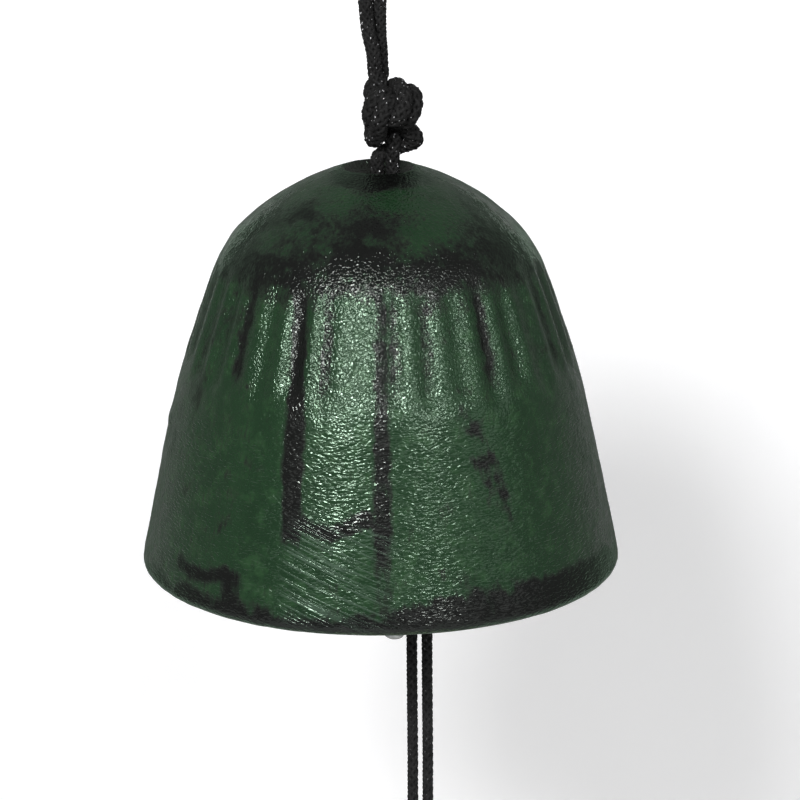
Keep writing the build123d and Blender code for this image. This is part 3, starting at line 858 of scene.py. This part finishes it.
def paper_sheet():
    """A strip of paper with a round hole near its top, a little curled."""
    made = bmesh.new()
    low, high = (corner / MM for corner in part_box("paper_strip"))
    wide, _, long = high - low
    hole_radius, hole_z = 2.25, high.z - 5.5
    upright = Matrix.Rotation(math.radians(90), 4, "X")
    lie = Matrix.Translation((low + high) / 2 * MM) @ upright @ Matrix.Diagonal((wide / 2, long / 2, 1, 1))
    bmesh.ops.create_grid(made, x_segments=54, y_segments=132, size=MM, matrix=lie)

    def from_hole(place):
        return place.x / MM - strip_x, place.z / MM - hole_z

    inside = [f for f in made.faces if math.hypot(*from_hole(f.calc_center_median())) < hole_radius]
    bmesh.ops.delete(made, geom=inside, context="FACES")
    for v in made.verts:
        x, z = from_hole(v.co)
        far = math.hypot(x, z)
        if v.is_boundary and far < hole_radius + 1.6:
            x, z = x / far * hole_radius, z / far * hole_radius
            v.co.x, v.co.z = (strip_x + x) * MM, (hole_z + z) * MM
    mesh = mesh_from(made, "paper_strip_sheet")
    for v in mesh.vertices:
        x, down = v.co.x / MM - strip_x, high.z - v.co.z / MM
        hang = min(1.0, max(0.0, (down - 8) / 30))
        curl = 1.6 * (x / 26) ** 2 * hang
        bow = 1.3 * math.sin(down / long * math.pi * 1.25) * hang
        ripple = 0.35 * noise.noise(Vector((x / 15, 0.3, down / 22))) * hang
        v.co.y = (curl - bow + ripple - 0.7 * hang) * MM
    mesh.materials.append(paper_material())
    mesh.shade_smooth()
    sheet = link(bpy.data.objects.new("paper_strip_sheet", mesh))
    thick = sheet.modifiers.new("thickness", "SOLIDIFY")
    thick.thickness = 0.25 * MM
    thick.offset = 0
    return sheet


paper = paper_sheet()
settle(paper, "strip", "paper", "paper_strip")


# Light and surroundings


light_distance = 0.8


def soft_light(name, azimuth, elevation, width, height, power):
    """A soft box that faces the bell, so many degrees to the right of the viewer and above the level."""
    data = bpy.data.lights.new(name, "AREA")
    data.shape = "RECTANGLE"
    data.size, data.size_y = width, height
    data.energy = power
    middle = Vector((bell_x, 0, -75)) * MM
    a, e = math.radians(azimuth), math.radians(elevation)
    way = Vector((math.sin(a) * math.cos(e), -math.cos(a) * math.cos(e), math.sin(e)))
    lamp = link(bpy.data.objects.new(name, data))
    facing = way.to_track_quat("Z", "Y").to_matrix().to_4x4()
    lamp.matrix_world = Matrix.Translation(middle + way * light_distance) @ facing


soft_light("left_soft_box", -21.5, 21.5, 0.72, 0.32, 0.9)
soft_light("left_lamp", -20, 30, 0.19, 0.13, 4.6)
soft_light("right_soft_box", 40, 20, 1.0, 0.35, 0.9)
soft_light("right_lamp", 26, 25, 0.15, 0.10, 1.2)


def background_rays(tree):
    """Rays that see the white background: the viewer's in full, and a share of the reflected ones."""
    rays = tree.node("LightPath").outputs
    mirrored = tree.math("MULTIPLY", rays["Is Glossy Ray"], 0.105)
    return tree.math("MAXIMUM", rays["Is Camera Ray"], tree.math("MAXIMUM", mirrored, rays["Is Transmission Ray"]))


def pale_sheet(name, corners, shade, glow):
    """A flat pale surface around the bell, which isn't seen from its back."""
    made = bmesh.new()
    made.faces.new([made.verts.new(c) for c in corners])
    mesh = mesh_from(made, name)
    material = bpy.data.materials.new(name)
    material.use_nodes = True
    material.node_tree.nodes.clear()
    tree = Tree(material.node_tree)
    seen = background_rays(tree)
    matt = tree.node("BsdfDiffuse", inputs={"Color": (shade, shade, shade * 1.01, 1)})
    white = tree.node("Emission", inputs={"Color": (1, 1, 1, 1), "Strength": tree.math("MULTIPLY", seen, glow)})
    shown = tree.node("AddShader", inputs={0: matt.outputs[0], 1: white.outputs[0]})
    back_side = tree.node("NewGeometry").outputs["Backfacing"]
    clear = tree.node("BsdfTransparent")
    sides = tree.node("MixShader", inputs={0: back_side, 1: shown.outputs[0], 2: clear.outputs[0]})
    tree.node("OutputMaterial", inputs={"Surface": sides.outputs[0]})
    mesh.materials.append(material)
    link(bpy.data.objects.new(name, mesh))


floor_z, floor_half, card_y = -0.33, 0.6, 0.13
floor_corners = [(x * floor_half, y * floor_half, floor_z) for x, y in ((-1, -1), (1, -1), (1, 1), (-1, 1))]
card_corners = [(x, card_y, z) for x, z in ((-0.076, -0.2), (0.08, -0.2), (0.08, -0.04), (-0.076, -0.04))]
pale_sheet("floor", floor_corners, 0.8, 0.72)
pale_sheet("backdrop_card", card_corners, 0.90, 0.215)

world = bpy.context.scene.world or bpy.data.worlds.new("world")
bpy.context.scene.world = world
world.use_nodes = True
world.node_tree.nodes.clear()
sky = Tree(world.node_tree)
strength = sky.math("MULTIPLY_ADD", background_rays(sky), 0.82, 0.18)
ground = sky.node("Background", inputs={"Color": (1, 1, 1, 1), "Strength": strength})
sky.node("OutputWorld", inputs={"Surface": ground})
bpy.context.scene.view_settings.view_transform = "Standard"
